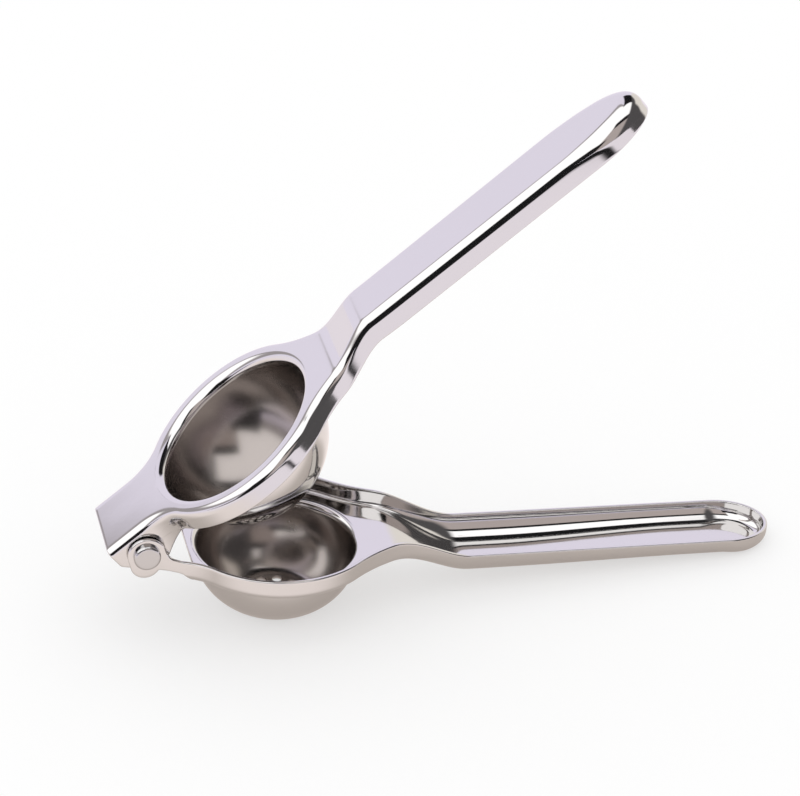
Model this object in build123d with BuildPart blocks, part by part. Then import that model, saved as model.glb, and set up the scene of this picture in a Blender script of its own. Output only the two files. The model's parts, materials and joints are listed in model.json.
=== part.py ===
from build123d import *
from math import acos, atan2, cos, degrees, radians, sin, sqrt, tan
import os

os.makedirs("parts", exist_ok=True)

# A hand press for half a lemon, in polished sheet steel. Two pressed trays turn on one rivet. The lower
# tray lies open side up and carries the strainer cup, and the upper one lies open side down and carries
# the press cup. Millimetres, +X from the hinge to the handles, +Z up, standing as it does on a table.
# The origin is the middle of the flat drain face under the strainer cup.

# Sheet
sheet = 1.2
bend_radius = 3.0                # outside radius where a wall turns into its tray's face

# Hinge
pin_beyond_rings = 9.3           # from the larger ring's edge to the rivet
opening_angle = 40.3             # between the two trays, as the tool stands
pin_above_rim = 2.5              # the rivet's axis above the strainer tray's rim
pin_below_face = 7.9             # the rivet's axis below the press tray's face
shank_radius = 2.5
shank_clearance = 0.05
head_radius = 4.0
head_height = 1.6
head_rounding = 0.9
tail_radius = 3.6
tail_height = 1.2
tail_rounding = 0.5
washer_radius = 4.0
washer_thickness = 0.6
side_clearance = 0.05            # along the rivet, between pieces that turn on each other
spacer_wall = 1.4

# Strainer tray, with lengths along it from the ring's axis
strainer_half_width = 15.1       # of the block between ring and hinge
strainer_ring_radius = 31.0
strainer_neck_half_width = 12.3
strainer_tip_half_width = 12.0
strainer_tip = 154.3
strainer_tip_length = 14.9
strainer_hinge_arc = 20.0
strainer_handle_arc = 48.0
strainer_height = 6.4
strainer_step_start = 32.0
strainer_step_end = 58.0
strainer_step = -8.5             # the handle lies lower than the ring
strainer_slope = -0.027

# Strainer ears, measured from the rivet's axis
ear_radius = 5.6
ear_blend = 5.0                  # the hollow between an ear and the rim
heel_radius = 4.4                # the round corner below the rivet
heel_back = 0.4
heel_down = 3.0
neck_length = 12.0
neck_depth = 5.5
neck_root = 2.5
neck_root_depth = 4.9
rim_start = 8.0
floor_start = 16.0

# Press tray
press_ring_radius = 32.0
press_neck_half_width = 10.1
press_tip_half_width = 10.4
press_tip = 151.5
press_tip_length = 19.2
press_hinge_arc = 14.0
press_handle_arc = 41.0
press_height = 6.7
press_step_start = 34.0
press_step_end = 52.5
press_step = 4.6                 # the handle lies higher than the ring
press_slope = 0.005
press_heel = 8.2                 # the tray's end behind the rivet

# Press ears: a lobe round the rivet, and round corners given by place from the rivet and radius
press_lobe_radius = 5.5
press_corners = (((-6.7, 2.0), 1.5), ((3.0, -2.0), 3.7), ((13.0, 1.65), 1.0))

# Cups
strainer_cup_radius = 24.6
strainer_cup_depth = 20.1        # below its seam, before the drain face is flattened
strainer_lip = 2.0               # radius on the upper side of the sheet, where tray turns into cup
strainer_collar = 0.4
press_cup_radius = 26.6
press_cup_depth = 27.0
press_lip = 2.6
press_collar = 0.4
drain_radius = 12.0
drain_blend = 8.0
drain_hole_radius = 1.5
drain_rings = ((4.0, 5), (7.9, 10))   # circle radius and number of holes

ring_to_pin = max(strainer_ring_radius, press_ring_radius) + pin_beyond_rings

# Where the strainer tray stands: on the drain face's edge and on the handle's tip
floor_top = sheet - strainer_height
strainer_seam = floor_top - strainer_lip - strainer_collar
press_seam = -press_lip - press_collar
drain_turn = acos(drain_radius / strainer_cup_radius)
drain_level = strainer_seam - strainer_cup_depth * sin(drain_turn)
drain_fall = atan2(strainer_cup_depth * cos(drain_turn), strainer_cup_radius * sin(drain_turn))
drain_flat = drain_radius - drain_blend * tan(drain_fall / 2)
tip_contact = strainer_tip - bend_radius
tip_level = strainer_step + strainer_slope * (tip_contact - strainer_step_end) - strainer_height
pitch = atan2(tip_level - drain_level, tip_contact - drain_flat)
lean = radians(opening_angle) - pitch

# Each tray has its own plane, through its ring's axis: the strainer's at the rim, the press's at the face
strainer_along = Vector(cos(pitch), 0, -sin(pitch))
strainer_normal = Vector(sin(pitch), 0, cos(pitch))
strainer_origin = strainer_normal * -drain_level
pin = strainer_origin - strainer_along * ring_to_pin + strainer_normal * pin_above_rim
press_along = Vector(cos(lean), 0, sin(lean))
press_normal = Vector(-sin(lean), 0, cos(lean))
press_origin = pin + press_along * ring_to_pin + press_normal * pin_below_face
strainer_plan = Plane(strainer_origin, x_dir=strainer_along, z_dir=strainer_normal)
strainer_side = Plane(strainer_origin, x_dir=strainer_along, z_dir=(0, -1, 0))
strainer_axis = Axis(strainer_origin, strainer_normal)
press_plan = Plane(press_origin, x_dir=press_along, z_dir=press_normal)
press_side = Plane(press_origin, x_dir=press_along, z_dir=(0, -1, 0))
press_axis = Axis(press_origin, press_normal)

ear_inside = strainer_half_width - sheet
press_half_width = ear_inside - washer_thickness - side_clearance
press_inside = press_half_width - sheet
hole_radius = shank_radius + shank_clearance
reach = 60.0                     # beyond every tray, for the bodies that trim them
rear = -ring_to_pin - 20.0       # behind the hinge
edge_tolerance = 0.05            # for finding a tray's long edges by their level


def across(side):
    """Plane square to the rivet, at a distance to the far side (+Y) of the tool's middle."""
    return Plane(pin + Vector(0, side, 0), x_dir=(1, 0, 0), z_dir=(0, 1, 0))


def tray_outline(half_width, ring, neck, tip_half, tip, tip_length, hinge_arc, handle_arc, inset):
    """The tray seen from above: block, ring and handle, joined by hollow arcs, with an elliptical tip."""
    width = half_width - inset
    radius = ring - inset
    neck_width = neck - inset
    rear_arc = hinge_arc + inset
    front_arc = handle_arc + inset
    rear_x = -sqrt((radius + rear_arc) ** 2 - (width + rear_arc) ** 2)
    front_x = sqrt((radius + front_arc) ** 2 - (neck_width + front_arc) ** 2)
    rear_share = radius / (radius + rear_arc)
    front_share = radius / (radius + front_arc)
    rear_touch = (rear_x * rear_share, (width + rear_arc) * rear_share)
    front_touch = (front_x * front_share, (neck_width + front_arc) * front_share)
    with BuildSketch() as outline:
        with BuildLine():
            Polyline((rear, 0), (rear, width), (rear_x, width))
            RadiusArc((rear_x, width), rear_touch, -rear_arc)
            ThreePointArc(rear_touch, (0, radius), front_touch)
            RadiusArc(front_touch, (front_x, neck_width), -front_arc)
            Line((front_x, neck_width), (tip - tip_length, tip_half - inset))
            EllipticalCenterArc((tip - tip_length, 0), tip_length - inset, tip_half - inset,
                                arc_size=90)
            Line((tip - inset, 0), (rear, 0))
        make_face()
        mirror(about=Plane.XZ)
    return outline.sketch


def tray_edge(start, step_start, step_end, step, slope, level, end):
    """The tray's long line seen from the side: level, a soft step, then a gently sloping handle."""
    Line((start, level), (step_start, level))
    Spline((step_start, level), (step_end, level + step), tangents=[(1, 0), (1, slope)])
    Line((step_end, level + step), (end, level + step + slope * (end - step_end)))


def long_edges(solid, plane, line_level):
    """The two long edges of a tray's face, which the bend rounds off."""
    def on_line(edge):
        middle = plane.to_local_coords(edge @ 0.5)
        return abs(middle.Y) > sheet and abs(middle.Z - line_level(middle.X)) < edge_tolerance
    return solid.edges().filter_by(on_line)


def step_level(along, step_start, step_end, step, slope):
    """Height of the long line above its level stretch, as its end points and tangents give it."""
    if along <= step_start:
        return 0
    if along >= step_end:
        return step + slope * (along - step_end)
    share = (along - step_start) / (step_end - step_start)
    rise = step * share ** 2 * (3 - 2 * share)
    return rise + slope * (step_end - step_start) * share ** 2 * (share - 1)


def strainer_level(along):
    return step_level(along, strainer_step_start, strainer_step_end, strainer_step, strainer_slope)


def press_level(along):
    return step_level(along, press_step_start, press_step_end, press_step, press_slope)


def lip_section(face_level, cup_radius, lip, seam):
    """Half section of the sheet where a tray's face turns down into its cup."""
    inner = cup_radius - sheet
    flat = inner + lip
    with BuildSketch() as section:
        with BuildLine():
            Line((flat, face_level), (flat, face_level - sheet))
            RadiusArc((flat, face_level - sheet), (cup_radius, face_level - lip), sheet - lip)
            Polyline((cup_radius, face_level - lip), (cup_radius, seam), (inner, seam),
                     (inner, face_level - lip))
            RadiusArc((inner, face_level - lip), (flat, face_level), lip)
        make_face()
    return section.sketch


# Strainer arm: tray, ears and lip
strainer_sizes = (strainer_half_width, strainer_ring_radius, strainer_neck_half_width,
                  strainer_tip_half_width, strainer_tip, strainer_tip_length,
                  strainer_hinge_arc, strainer_handle_arc)
blend_reach = sqrt((ear_radius + ear_blend) ** 2 - (ear_blend - pin_above_rim) ** 2)
blend_share = ear_radius / (ear_radius + ear_blend)
pin_x = -ring_to_pin
blend_touch = (pin_x + blend_reach * blend_share,
               pin_above_rim + (ear_blend - pin_above_rim) * blend_share)

with BuildPart() as strainer_hollow:
    with BuildSketch(strainer_plan):
        add(tray_outline(*strainer_sizes, sheet))
    extrude(amount=reach, both=True)
    with BuildSketch(strainer_side):
        with BuildLine():
            tray_edge(rear, strainer_step_start, strainer_step_end, strainer_step, strainer_slope,
                      floor_top, strainer_tip)
            Polyline((strainer_tip, floor_top + strainer_level(strainer_tip)), (strainer_tip, reach),
                     (rear, reach), (rear, floor_top))
        make_face()
    extrude(amount=reach, both=True, mode=Mode.INTERSECT)
    fillet(long_edges(strainer_hollow, strainer_plan, lambda x: floor_top + strainer_level(x)),
           radius=bend_radius - sheet)
    with BuildSketch(strainer_plan):             # between the ears it is open to the full depth
        add(tray_outline(*strainer_sizes, sheet))
        with Locations((rear, 0)):
            Rectangle(pin_x + neck_length - rear, 2 * reach, align=(Align.MIN, Align.CENTER),
                      mode=Mode.INTERSECT)
    extrude(amount=reach, both=True)

with BuildPart() as strainer_arm:
    with BuildSketch(strainer_plan):
        add(tray_outline(*strainer_sizes, 0))
    extrude(amount=reach, both=True)
    with BuildSketch(strainer_side):
        with BuildLine():
            tray_edge(pin_x + rim_start, strainer_step_start, strainer_step_end, strainer_step,
                      strainer_slope, 0, strainer_tip)
            Line((strainer_tip, strainer_level(strainer_tip)),
                 (strainer_tip, strainer_level(strainer_tip) - strainer_height))
            tray_edge(pin_x + floor_start, strainer_step_start, strainer_step_end, strainer_step,
                      strainer_slope, -strainer_height, strainer_tip)
            Line((pin_x + floor_start, -strainer_height), (pin_x + rim_start, 0))
        make_face()
        with BuildLine() as ear_rounds:
            CenterArc((pin_x, pin_above_rim), ear_radius, 0, 360)
            CenterArc((pin_x - heel_back, pin_above_rim - heel_down), heel_radius, 0, 360)
        make_hull(ear_rounds.edges())
        with BuildLine():
            Line((pin_x, pin_above_rim), blend_touch)
            RadiusArc(blend_touch, (pin_x + blend_reach, 0), -ear_blend)
            Polyline((pin_x + blend_reach, 0), (pin_x + neck_length, 0),
                     (pin_x + neck_length, pin_above_rim - neck_depth),
                     (pin_x + neck_root, pin_above_rim - neck_root_depth), (pin_x, pin_above_rim))
        make_face()
    extrude(amount=reach, both=True, mode=Mode.INTERSECT)
    fillet(long_edges(strainer_arm, strainer_plan, lambda x: strainer_level(x) - strainer_height),
           radius=bend_radius)
    add(strainer_hollow.part, mode=Mode.SUBTRACT)
    with BuildSketch(strainer_plan.offset(floor_top)):
        Circle(strainer_cup_radius - sheet + strainer_lip)
    extrude(amount=-2 * sheet, mode=Mode.SUBTRACT)
    with BuildSketch(strainer_side):
        add(lip_section(floor_top, strainer_cup_radius, strainer_lip, strainer_seam))
    revolve(axis=strainer_axis)
    with BuildSketch(across(0)):
        Circle(hole_radius)
    extrude(amount=reach, both=True, mode=Mode.SUBTRACT)

strainer_arm.part.label = "strainer_arm"
export_step(strainer_arm.part, "parts/strainer_arm.step")

# Strainer cup: a deep-drawn bowl with a flat drain face, seamed to the lip
inner_cup_radius = strainer_cup_radius - sheet
inner_cup_depth = strainer_cup_depth - sheet
inner_drain_share = (strainer_seam - drain_level - sheet) / inner_cup_depth
inner_drain = inner_cup_radius * sqrt(1 - inner_drain_share ** 2)

with BuildPart() as strainer_bowl:
    with BuildSketch(strainer_side) as cup:
        with BuildLine():
            EllipticalCenterArc((0, strainer_seam), strainer_cup_radius, strainer_cup_depth,
                                arc_size=-degrees(drain_turn))
            Line((strainer_cup_radius, strainer_seam), (inner_cup_radius, strainer_seam))
            EllipticalCenterArc((0, strainer_seam), inner_cup_radius, inner_cup_depth,
                                arc_size=-degrees(acos(inner_drain / inner_cup_radius)))
            Polyline((inner_drain, drain_level + sheet), (0, drain_level + sheet), (0, drain_level),
                     (drain_radius, drain_level))
        make_face()
        outer_corner = cup.vertices().sort_by_distance((drain_radius, drain_level))[0]
        fillet(outer_corner, radius=drain_blend)
        inner_corner = cup.vertices().sort_by_distance((inner_drain, drain_level + sheet))[0]
        fillet(inner_corner, radius=drain_blend - sheet)
    revolve(axis=strainer_axis)
    with BuildSketch(strainer_plan.offset(drain_level)):
        for circle_radius, holes in drain_rings:
            with PolarLocations(circle_radius, holes):
                Circle(drain_hole_radius)
    extrude(amount=2 * sheet, mode=Mode.SUBTRACT)

strainer_bowl.part.label = "strainer_bowl"
export_step(strainer_bowl.part, "parts/strainer_bowl.step")

# Press arm: the same kind of tray turned over, with its ears inside the strainer's
press_sizes = (press_half_width, press_ring_radius, press_neck_half_width, press_tip_half_width,
               press_tip, press_tip_length, press_hinge_arc, press_handle_arc)

with BuildPart() as press_hollow:
    with BuildSketch(press_plan):
        add(tray_outline(*press_sizes, sheet))
    extrude(amount=reach, both=True)
    with BuildSketch(press_side):
        with BuildLine():
            tray_edge(rear, press_step_start, press_step_end, press_step, press_slope, -sheet, press_tip)
            Polyline((press_tip, press_level(press_tip) - sheet), (press_tip, -reach),
                     (rear, -reach), (rear, -sheet))
        make_face()
    extrude(amount=reach, both=True, mode=Mode.INTERSECT)
    fillet(long_edges(press_hollow, press_plan, lambda x: press_level(x) - sheet),
           radius=bend_radius - sheet)

with BuildPart() as press_arm:
    with BuildSketch(press_plan):
        add(tray_outline(*press_sizes, 0))
    extrude(amount=reach, both=True)
    with BuildSketch(press_side):
        with BuildLine():
            tray_edge(pin_x - press_heel, press_step_start, press_step_end, press_step, press_slope,
                      0, press_tip)
            Line((press_tip, press_level(press_tip)), (press_tip, press_level(press_tip) - press_height))
            tray_edge(pin_x - press_heel, press_step_start, press_step_end, press_step, press_slope,
                      -press_height, press_tip)
            Line((pin_x - press_heel, -press_height), (pin_x - press_heel, 0))
        make_face()
        with BuildLine() as ear_rounds:
            CenterArc((pin_x, -pin_below_face), press_lobe_radius, 0, 360)
            for (along, up), radius in press_corners:
                CenterArc((pin_x + along, up - pin_below_face), radius, 0, 360)
        make_hull(ear_rounds.edges())
    extrude(amount=reach, both=True, mode=Mode.INTERSECT)
    fillet(long_edges(press_arm, press_plan, press_level), radius=bend_radius)
    add(press_hollow.part, mode=Mode.SUBTRACT)
    with BuildSketch(press_plan):
        Circle(press_cup_radius - sheet + press_lip)
    extrude(amount=-2 * sheet, mode=Mode.SUBTRACT)
    with BuildSketch(press_side):
        add(lip_section(0, press_cup_radius, press_lip, press_seam))
    revolve(axis=press_axis)
    with BuildSketch(across(0)):
        Circle(hole_radius)
    extrude(amount=reach, both=True, mode=Mode.SUBTRACT)

press_arm.part.label = "press_arm"
export_step(press_arm.part, "parts/press_arm.step")

# Press cup: a plain deep-drawn bowl, seamed to the lip
with BuildPart() as press_bowl:
    with BuildSketch(press_side):
        with BuildLine():
            EllipticalCenterArc((0, press_seam), press_cup_radius, press_cup_depth, arc_size=-90)
            Line((press_cup_radius, press_seam), (press_cup_radius - sheet, press_seam))
            EllipticalCenterArc((0, press_seam), press_cup_radius - sheet, press_cup_depth - sheet,
                                arc_size=-90)
            Line((0, press_seam - press_cup_depth + sheet), (0, press_seam - press_cup_depth))
        make_face()
    revolve(axis=press_axis)

press_bowl.part.label = "press_bowl"
export_step(press_bowl.part, "parts/press_bowl.step")

# Rivet: factory head on the near side, set tail on the far side
with BuildPart() as hinge_rivet:
    with BuildSketch(across(-strainer_half_width)):
        Circle(shank_radius)
    extrude(amount=2 * strainer_half_width)
    with BuildSketch(across(-strainer_half_width)):
        Circle(head_radius)
    extrude(amount=-head_height)
    fillet(hinge_rivet.edges().group_by(Axis.Y)[0], radius=head_rounding)
    with BuildSketch(across(strainer_half_width)):
        Circle(tail_radius)
    extrude(amount=tail_height)
    fillet(hinge_rivet.edges().group_by(Axis.Y)[-1], radius=tail_rounding)

hinge_rivet.part.label = "hinge_rivet"
export_step(hinge_rivet.part, "parts/hinge_rivet.step")

# Spacer: the tube on the rivet that keeps the press arm's ears apart
with BuildPart() as hinge_spacer:
    with BuildSketch(across(-press_inside + side_clearance)):
        Circle(hole_radius + spacer_wall)
        Circle(hole_radius, mode=Mode.SUBTRACT)
    extrude(amount=2 * (press_inside - side_clearance))

hinge_spacer.part.label = "hinge_spacer"
export_step(hinge_spacer.part, "parts/hinge_spacer.step")

# Friction washers: one in each gap between a strainer ear and a press ear
washer_places = {"friction_washer_near": -ear_inside, "friction_washer_far": ear_inside - washer_thickness}

for name, place in washer_places.items():
    with BuildPart() as washer:
        with BuildSketch(across(place)):
            Circle(washer_radius)
            Circle(hole_radius, mode=Mode.SUBTRACT)
        extrude(amount=washer_thickness)
    washer.part.label = name
    export_step(washer.part, f"parts/{name}.step")
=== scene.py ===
import json
import math
import bmesh
import bpy
import numpy as np
from mathutils import Matrix


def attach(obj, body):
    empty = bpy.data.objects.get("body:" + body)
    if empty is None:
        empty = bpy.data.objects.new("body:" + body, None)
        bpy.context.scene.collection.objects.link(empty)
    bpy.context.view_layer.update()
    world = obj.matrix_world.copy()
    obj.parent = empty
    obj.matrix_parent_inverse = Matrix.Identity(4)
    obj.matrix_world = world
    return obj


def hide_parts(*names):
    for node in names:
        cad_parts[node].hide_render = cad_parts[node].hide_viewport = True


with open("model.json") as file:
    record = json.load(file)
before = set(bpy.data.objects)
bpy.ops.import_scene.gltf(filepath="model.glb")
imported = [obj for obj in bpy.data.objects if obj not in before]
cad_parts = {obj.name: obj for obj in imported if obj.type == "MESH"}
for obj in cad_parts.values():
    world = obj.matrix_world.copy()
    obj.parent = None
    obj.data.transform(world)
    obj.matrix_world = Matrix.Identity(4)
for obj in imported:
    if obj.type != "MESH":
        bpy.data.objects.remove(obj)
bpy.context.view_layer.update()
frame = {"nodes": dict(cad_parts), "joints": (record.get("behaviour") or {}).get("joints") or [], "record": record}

# Sizes below are millimetres and turn into metres when a mesh is made.
mm = 0.001
sheet = 1.2            # thickness of both trays and both cups
edgeRounding = 0.32    # on the cut edges of the sheet

hinge = {
    "openingAngle": 40.3,
    "ringToPin": 41.3,
    "pinAboveRim": 2.5,
    "pinBelowFace": 7.9,
    "hole": 2.55,          # radius
}

# Where things are: the rivet from the joint, the way up from the drain face's mount.
pinPlace = np.array(frame["joints"][0]["pos_m"]) / mm
across = np.array([0.0, 1.0, 0.0])
strainerUp = -np.array(frame["record"]["mounts"][0]["axis"])
strainerUp = strainerUp / np.linalg.norm(strainerUp)
strainerAlong = np.cross(across, strainerUp)
opening = math.radians(hinge["openingAngle"])
pressAlong = math.cos(opening) * strainerAlong + math.sin(opening) * strainerUp
pressUp = math.cos(opening) * strainerUp - math.sin(opening) * strainerAlong
strainerOrigin = pinPlace + strainerAlong * hinge["ringToPin"] - strainerUp * hinge["pinAboveRim"]
pressOrigin = pinPlace + pressAlong * hinge["ringToPin"] + pressUp * hinge["pinBelowFace"]


def arcPoints(centre, radius, fromAngle, toAngle, count):
    # centre + radius (cos a, sin a), with a in degrees running evenly from one angle to the other
    a = np.radians(np.linspace(fromAngle, toAngle, count))
    return np.stack([centre[0] + radius * np.cos(a), centre[1] + radius * np.sin(a)], -1)


def linePoints(start, end, count):
    # start + t (end - start), with t from 0 to 1
    t = np.linspace(0, 1, count)[:, None]
    return np.array(start) + t * (np.array(end) - np.array(start))


def chain(*runs):
    # Runs of points joined into one line, without the points that two runs share
    return np.concatenate([runs[0]] + [run[1:] for run in runs[1:]])


def runningLength(points):
    return np.concatenate([[0], np.cumsum(np.linalg.norm(np.diff(points, axis=0), axis=1))])


def isNew(length):
    # False where a point repeats the one before it
    return np.concatenate([[True], np.diff(length) > 1e-9])


def evenly(points, spacing):
    # The same line with points at even distances along it, found by its running length
    length = runningLength(points)
    keep = isNew(length)
    wanted = np.linspace(0, length[-1], max(2, int(round(length[-1] / spacing)) + 1))
    return np.stack([np.interp(wanted, length[keep], column) for column in points[keep].T], -1)


def smoothStep(x, start, end):
    # 3t^2 - 2t^3 of the share t of the way from start to end, held at 0 and 1 outside
    t = np.clip((x - start) / (end - start), 0, 1)
    return t * t * (3 - 2 * t)


def beltPoints(discs, fromAngle, toAngle, count):
    # Round a set of discs as a belt lies, with u(a) the unit vector towards angle a: there the belt touches
    # the disc whose centre . u(a) + radius is the greatest, at centre + radius u(a)
    a = np.radians(np.linspace(fromAngle, toAngle, count))
    u = np.stack([np.cos(a), np.sin(a)], -1)
    centres = np.array([disc[:2] for disc in discs])
    radii = np.array([disc[2] for disc in discs])
    best = np.argmax(u @ centres.T + radii, axis=1)
    return centres[best] + radii[best][:, None] * u


def gridFaces(rows, columns, first):
    # Quads of a grid of points that are numbered row by row
    r, c = np.meshgrid(np.arange(rows - 1), np.arange(columns - 1), indexing="ij")
    a = (first + r * columns + c).ravel()
    return np.stack([a, a + 1, a + columns + 1, a + columns], -1)


def makePiece(name, grids, body, mirrored=False, sharpAngle=38, weld=0.004):
    # Grids of points (rows, columns, 3) in millimetres become one closed mesh: seams and poles are welded
    points, faces, count = [], [], 0
    for grid in grids:
        sides = [grid, grid * np.array([1, -1, 1])] if mirrored else [grid]
        for side in sides:
            points.append(side.reshape(-1, 3))
            faces.append(gridFaces(side.shape[0], side.shape[1], count))
            count += side.shape[0] * side.shape[1]
    mesh = bpy.data.meshes.new(name)
    mesh.from_pydata(np.concatenate(points) * mm, [], np.concatenate(faces))
    work = bmesh.new()
    work.from_mesh(mesh)
    bmesh.ops.remove_doubles(work, verts=work.verts, dist=weld * mm)
    bmesh.ops.dissolve_degenerate(work, edges=work.edges, dist=weld * mm)
    bmesh.ops.recalc_face_normals(work, faces=work.faces)
    if work.calc_volume(signed=True) < 0:
        bmesh.ops.reverse_faces(work, faces=work.faces)
    openEdges = sum(1 for edge in work.edges if len(edge.link_faces) != 2)
    volume = work.calc_volume() / mm ** 3
    work.to_mesh(mesh)
    work.free()
    mesh.shade_smooth()
    mesh.set_sharp_from_angle(angle=math.radians(sharpAngle))
    piece = bpy.data.objects.new(name, mesh)
    bpy.context.scene.collection.objects.link(piece)
    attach(piece, body)
    print(name, len(mesh.polygons), "faces,", openEdges, "open edges, volume", round(volume))
    return piece


def placed(points, origin, along, beside, up):
    # Own lengths (along, beside, up) as places in the frame
    return origin + points[..., 0:1] * along + points[..., 1:2] * beside + points[..., 2:3] * up


def turned(profile, count, fromAngle=0.0, toAngle=360.0):
    # A profile (radius, height) carried round the third axis: (r cos a, r sin a, z)
    a = np.radians(np.linspace(fromAngle, toAngle, count))[:, None]
    r, z = profile[None, :, 0], profile[None, :, 1]
    return np.stack([r * np.cos(a), r * np.sin(a), np.broadcast_to(z, (count, profile.shape[0]))], -1)


# Both trays are described in their own lengths: x along from the ring's axis, y across, and h, the height
# off the tray's flat face towards the open side. side says whether that is up or down.
strainerTray = {
    "side": 1, "height": 6.4, "halfWidth": 15.1, "ring": 31.0,
    "neck": 12.3, "tipHalf": 12.0, "tip": 154.3, "tipLength": 14.9, "hingeArc": 20.0, "handleArc": 48.0,
    "stepStart": 32.0, "stepEnd": 58.0, "step": -8.5, "slope": -0.027,
    "blockBend": 2.3, "handleBend": 7.2, "tipBend": 4.4, "deeper": 1.3, "deeperAtTip": 0.09,
    "joinFromPin": 10.6, "floorFromPin": 14.6, "neckLow": 2.2,
    "cup": 24.6, "lip": 2.0, "collar": 0.4,
    "circleStart": 141.0, "circleEnd": 25.0,
}
pressTray = {
    "side": -1, "height": 6.7, "halfWidth": 13.25, "ring": 32.0,
    "neck": 10.3, "tipHalf": 10.7, "tip": 151.5, "tipLength": 19.2, "hingeArc": 14.0, "handleArc": 41.0,
    "stepStart": 34.0, "stepEnd": 52.5, "step": 5.4, "slope": 0.005,
    "blockBend": 2.3, "handleBend": 3.0, "tipBend": 4.9, "deeper": 1.5, "deeperAtTip": 1.5,
    "joinFromPin": 15.8, "rearFromPin": -8.2,
    "cup": 26.6, "lip": 2.6, "collar": 0.4,
    "circleStart": 152.0, "circleEnd": 25.0,
}
# Where along x both trays change: from ring to handle, from the handle's depth to the tip's, and, counted
# from where the tip starts, from the handle's bend to the tip's. leastWall is the flat wall under any bend.
changes = {"handle": (30.0, 60.0), "tipDepth": (70.0, 128.0), "tipBend": (-10.0, 8.0), "leastWall": 0.6}
grain = {
    "alongOutline": 0.7, "alongEar": 0.45, "outlinePoints": 400, "rearStations": 80, "freeTurn": 1.5,
    "wallRows": 7, "bendRows": 15, "faceRows": 12, "earRows": 9, "cutRows": 5, "earEvenness": 0.35,
}


def faceHeight(tray):
    # The face's outer skin round the ring: the strainer's lies its walls' height below the rim
    return -tray["height"] if tray["side"] > 0 else 0.0


def seamHeight(tray):
    # Where a tray's collar ends and its cup begins, below the face's upper skin
    upperSkin = faceHeight(tray) + (sheet if tray["side"] > 0 else 0)
    return upperSkin - tray["lip"] - tray["collar"]


def trayLevel(x, tray):
    # Height of the tray's long line: level, then a cubic with the end slopes, then a gently sloping handle
    start, end = tray["stepStart"], tray["stepEnd"]
    t = np.clip((x - start) / (end - start), 0, 1)
    rise = tray["step"] * t ** 2 * (3 - 2 * t) + tray["slope"] * (end - start) * t ** 2 * (t - 1)
    return rise + tray["slope"] * np.maximum(x - end, 0)


def trayDeeper(x, tray):
    # How much higher the walls are along the handle and at its tip than round the ring
    atTip = tray["deeperAtTip"] - tray["deeper"]
    return tray["deeper"] * smoothStep(x, *changes["handle"]) + atTip * smoothStep(x, *changes["tipDepth"])


def trayBend(x, tray):
    # Outside radius of the bend between wall and face: tight round the ring, wider at the handle and its tip
    tipStart = tray["tip"] - tray["tipLength"]
    before, past = changes["tipBend"]
    wide = tray["blockBend"] + (tray["handleBend"] - tray["blockBend"]) * smoothStep(x, *changes["handle"])
    wide = wide + (tray["tipBend"] - tray["handleBend"]) * smoothStep(x, tipStart + before, tipStart + past)
    return np.minimum(wide, tray["height"] + trayDeeper(x, tray) - changes["leastWall"])


def trayOutline(tray, firstX):
    # Half the outline seen from above, finely divided, with the normal that points into the sheet: a
    # straight block, a hollow arc of radius hingeArc, the ring, a hollow arc of radius handleArc, a straight
    # handle, and a quarter of an ellipse
    w, ring, n = tray["halfWidth"], tray["ring"], tray["neck"]
    a, b = tray["hingeArc"], tray["handleArc"]
    rearX = -math.sqrt((ring + a) ** 2 - (w + a) ** 2)
    frontX = math.sqrt((ring + b) ** 2 - (n + b) ** 2)
    rearTurn = math.degrees(math.atan2(w + a, rearX))
    frontTurn = math.degrees(math.atan2(n + b, frontX))
    tipStart = tray["tip"] - tray["tipLength"]
    fine = grain["outlinePoints"]
    block = linePoints((min(firstX, rearX - 1), w), (rearX, w), fine)
    hollow = arcPoints((rearX, w + a), a, -90, rearTurn - 180, fine)
    crown = arcPoints((0, 0), ring, rearTurn, frontTurn, fine)
    front = arcPoints((frontX, n + b), b, frontTurn - 180, -90, fine)
    handle = linePoints((frontX, n), (tipStart, tray["tipHalf"]), fine)
    q = np.radians(np.linspace(90, 0, fine))
    tip = np.stack([tipStart + tray["tipLength"] * np.cos(q), tray["tipHalf"] * np.sin(q)], -1)
    tipIn = -np.stack([np.cos(q) / tray["tipLength"], np.sin(q) / tray["tipHalf"]], -1)
    tipIn /= np.linalg.norm(tipIn, axis=1)[:, None]
    straightIn = np.tile([0.0, -1.0], (fine, 1))
    inward = chain(straightIn, (hollow - np.array([rearX, w + a])) / a, -crown / ring,
                   (front - np.array([frontX, n + b])) / b, straightIn, tipIn)
    return chain(block, hollow, crown, front, handle, tip), inward


def trayStations(tray, firstX, joinX):
    # Even steps along the outline from firstX to the tip, with one station just where the ear ends
    points, inward = trayOutline(tray, firstX)
    length = runningLength(points)
    rear = points[:, 0] < 0
    start, join = np.interp([firstX, joinX], points[rear][:, 0], length[rear])
    rest = np.linspace(join, length[-1], int(round((length[-1] - join) / grain["alongOutline"])) + 1)
    if join - start > 1e-6:
        rest = chain(np.linspace(start, join, int(round((join - start) / grain["alongOutline"])) + 1), rest)
    keep = isNew(length)

    def at(values):
        return np.stack([np.interp(rest, length[keep], values[keep][:, i]) for i in (0, 1)], -1)

    into = at(inward)
    stations = at(points)
    stations[-1, 1] = 0.0
    into[-1] = (-1.0, 0.0)
    return stations, into / np.linalg.norm(into, axis=1)[:, None], int(np.argmin(np.abs(rest - join)))


def skin(points, inward, d, h):
    # Points at depth d inside the outline and height h off the face, for rows of d and h over the stations
    flat = points[None] + inward[None] * d[..., None]
    return np.concatenate([flat, h[..., None]], -1)


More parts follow.
